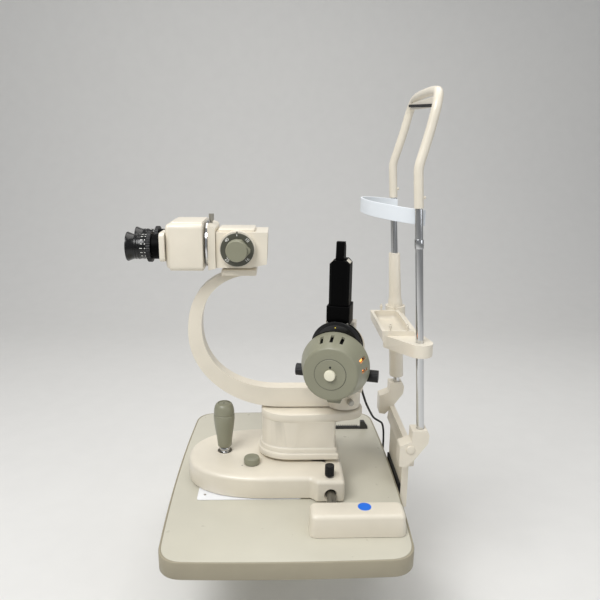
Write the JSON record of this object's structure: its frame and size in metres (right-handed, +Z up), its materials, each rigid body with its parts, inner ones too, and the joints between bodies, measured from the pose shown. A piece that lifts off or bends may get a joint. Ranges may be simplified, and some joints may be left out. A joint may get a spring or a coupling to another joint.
{
  "type": "slit lamp",
  "caption": "Table-mounted slit lamp with joystick base, swinging lamp and microscope arms, binocular head, chin rest and headrest.",
  "frame": {"origin": "centre of the underside of the table top, where the stand's column carries it", "axes": "+X from the examiner towards the patient, +Y away from the examiner's right-hand side towards the far end of the table, +Z up"},
  "size_m": [0.497, 0.52, 0.8968],
  "materials": {
    "cream_paint": "smooth semi-gloss cream paint",
    "olive_plastic": "fine-grained olive grey",
    "black_paint": "black enamel",
    "black_plastic": "black",
    "rubber": "matt black",
    "chrome": "polished",
    "steel": "turned",
    "glass": "coated optical glass",
    "white_plastic": "white",
    "laminate": "light laminate over board",
    "edge_strip": "grey-brown edge strip"
  },
  "bodies": {
    "table": {"table_panel": "laminate", "table_edge_band": "edge_strip", "glide_plate": "white_plastic", "near_rack": "steel", "far_rack": "steel", "near_rail_cover": "cream_paint", "headrest_yoke": "cream_paint", "yoke_pad": "rubber", "near_post": "chrome", "far_post": "chrome", "headrest_frame": "cream_paint", "frame_cross_plate": "cream_paint", "forehead_band": "white_plastic"},
    "cross_slide": {"axle_guide_tube": "chrome"},
    "rolling_axle": {"pinion_axle": "steel"},
    "carriage": {"base_housing": "cream_paint", "elevation_post": "steel"},
    "lock": {"base_lock_knob": "black_plastic"},
    "brightness": {"brightness_knob": "olive_plastic"},
    "gimbal": {"joystick_gimbal": "steel"},
    "stick": {"joystick_shaft": "chrome"},
    "handle": {"joystick_handle": "olive_plastic"},
    "column": {"column_cover": "cream_paint", "elevation_sleeve": "steel", "hub_pin": "steel", "lamp_lead": "rubber", "lead_plug": "black_plastic"},
    "microscope": {"microscope_arm": "cream_paint", "microscope_mount_plate": "cream_paint", "changer_housing": "cream_paint", "objective_lens": "glass", "head_collar": "cream_paint", "chrome_ring": "chrome", "binocular_head": "cream_paint"},
    "magnification": {"magnification_drum": "black_paint", "near_magnification_dial": "olive_plastic", "far_magnification_dial": "olive_plastic"},
    "head_screw": {"head_clamp_screw": "cream_paint"},
    "swing_screw": {"swing_clamp_screw": "steel"},
    "near_tube": {"near_eyepiece_tube": "black_paint"},
    "far_tube": {"far_eyepiece_tube": "black_paint"},
    "near_eye": {"near_eyepiece": "rubber"},
    "far_eye": {"far_eyepiece": "rubber"},
    "illumination": {"illumination_arm": "cream_paint", "slit_housing": "black_paint", "tower_base": "black_paint", "tower_column": "black_paint", "condenser_lens": "glass", "prism_holder": "black_paint", "prism": "glass", "lead_gland": "rubber"},
    "slit_control": {"right_slit_knob": "black_plastic", "left_slit_knob": "black_plastic"},
    "lamp": {"lamp_housing": "olive_plastic", "lamp_bulb": "glass"},
    "cap": {"lamp_cap": "olive_plastic", "lamp_cap_button": "white_plastic"},
    "chin": {"chin_rest": "cream_paint"},
    "sleeve": {"height_sleeve": "cream_paint"}
  },
  "joints": [
    {"name": "longitudinal_travel", "type": "slide", "parent": "table", "child": "cross_slide", "axis": [1, 0, 0], "range_m": [-0.014, 0.014]},
    {"name": "axle_roll", "type": "hinge", "parent": "cross_slide", "child": "rolling_axle", "pos_m": [0.076, 0, 0.045], "axis": [0, 1, 0], "range_deg": [-90, 90]},
    {"name": "lateral_travel", "type": "slide", "parent": "cross_slide", "child": "carriage", "axis": [0, 1, 0], "range_m": [-0.04, 0.04]},
    {"name": "base_lock", "type": "hinge", "parent": "carriage", "child": "lock", "pos_m": [0.074, -0.093, 0.084], "axis": [0, 0, 1], "range_deg": [-180, 0]},
    {"name": "brightness_turn", "type": "hinge", "parent": "carriage", "child": "brightness", "pos_m": [-0.061, -0.047, 0.077], "axis": [0, 0, 1], "range_deg": [-270, 0]},
    {"name": "joystick_side", "type": "hinge", "parent": "carriage", "child": "gimbal", "pos_m": [-0.113, 0, 0.053], "axis": [1, 0, 0], "range_deg": [-10, 10]},
    {"name": "joystick_fore_aft", "type": "hinge", "parent": "gimbal", "child": "stick", "pos_m": [-0.113, 0, 0.053], "axis": [0, 1, 0], "range_deg": [-10, 10]},
    {"name": "joystick_twist", "type": "hinge", "parent": "stick", "child": "handle", "pos_m": [-0.113, 0, 0.12], "axis": [0, 0, 1], "range_deg": [0, 980]},
    {"name": "elevation", "type": "slide", "parent": "carriage", "child": "column", "axis": [0, 0, 1], "range_m": [0, 0.027]},
    {"name": "microscope_swing", "type": "hinge", "parent": "column", "child": "microscope", "pos_m": [0.105, 0, 0.184], "axis": [0, 0, 1], "range_deg": [-35, 45]},
    {"name": "magnification_turn", "type": "hinge", "parent": "microscope", "child": "magnification", "pos_m": [-0.0815, 0, 0.457], "axis": [0, 1, 0], "continuous": true},
    {"name": "head_clamp_turn", "type": "hinge", "parent": "microscope", "child": "head_screw", "pos_m": [-0.127, 0, 0.508], "axis": [0, 0, 1], "range_deg": [-180, 0]},
    {"name": "swing_clamp_turn", "type": "hinge", "parent": "microscope", "child": "swing_screw", "pos_m": [0.1131, -0.03508, 0.184], "axis": [0.225, -0.9744, 0], "range_deg": [-180, 0]},
    {"name": "near_eyepiece_spread", "type": "slide", "parent": "microscope", "child": "near_tube", "axis": [0, 1, 0], "range_m": [-0.005, 0.005]},
    {"name": "far_eyepiece_spread", "type": "slide", "parent": "microscope", "child": "far_tube", "axis": [0, 1, 0], "range_m": [-0.005, 0.005]},
    {"name": "near_dioptre", "type": "hinge", "parent": "near_tube", "child": "near_eye", "pos_m": [-0.24, -0.033, 0.46], "axis": [1, 0, 0], "range_deg": [-90, 90]},
    {"name": "far_dioptre", "type": "hinge", "parent": "far_tube", "child": "far_eye", "pos_m": [-0.24, 0.033, 0.46], "axis": [1, 0, 0], "range_deg": [-90, 90]},
    {"name": "illumination_swing", "type": "hinge", "parent": "column", "child": "illumination", "pos_m": [0.105, 0, 0.22], "axis": [0, 0, 1], "range_deg": [-150, 0]},
    {"name": "slit_width", "type": "hinge", "parent": "illumination", "child": "slit_control", "pos_m": [0.08416, -0.07516, 0.255], "axis": [0.9636, -0.2672, 0], "range_deg": [0, 270]},
    {"name": "slit_rotation", "type": "hinge", "parent": "illumination", "child": "lamp", "pos_m": [0.105, 0, 0.275], "axis": [-0.2672, -0.9636, 0], "range_deg": [-90, 90]},
    {"name": "cap_turn", "type": "hinge", "parent": "lamp", "child": "cap", "pos_m": [0.105, 0, 0.275], "axis": [-0.2672, -0.9636, 0], "range_deg": [-60, 0]},
    {"name": "chin_height", "type": "slide", "parent": "table", "child": "chin", "axis": [-0.0649, 0, 0.9979], "range_m": [0, 0.05]},
    {"name": "sleeve_turn", "type": "hinge", "parent": "table", "child": "sleeve", "pos_m": [0.223, 0.105, 0.165], "axis": [-0.0649, 0, 0.9979], "range_deg": [0, 2260]}
  ],
  "couplings": [
    {"joint": "axle_roll", "follows": "longitudinal_travel", "rad_per_m": 100},
    {"joint": "joystick_twist", "follows": "elevation", "rad_per_m": 628.3},
    {"joint": "far_eyepiece_spread", "follows": "near_eyepiece_spread", "ratio": -1},
    {"joint": "sleeve_turn", "follows": "chin_height", "rad_per_m": 785.4}
  ]
}
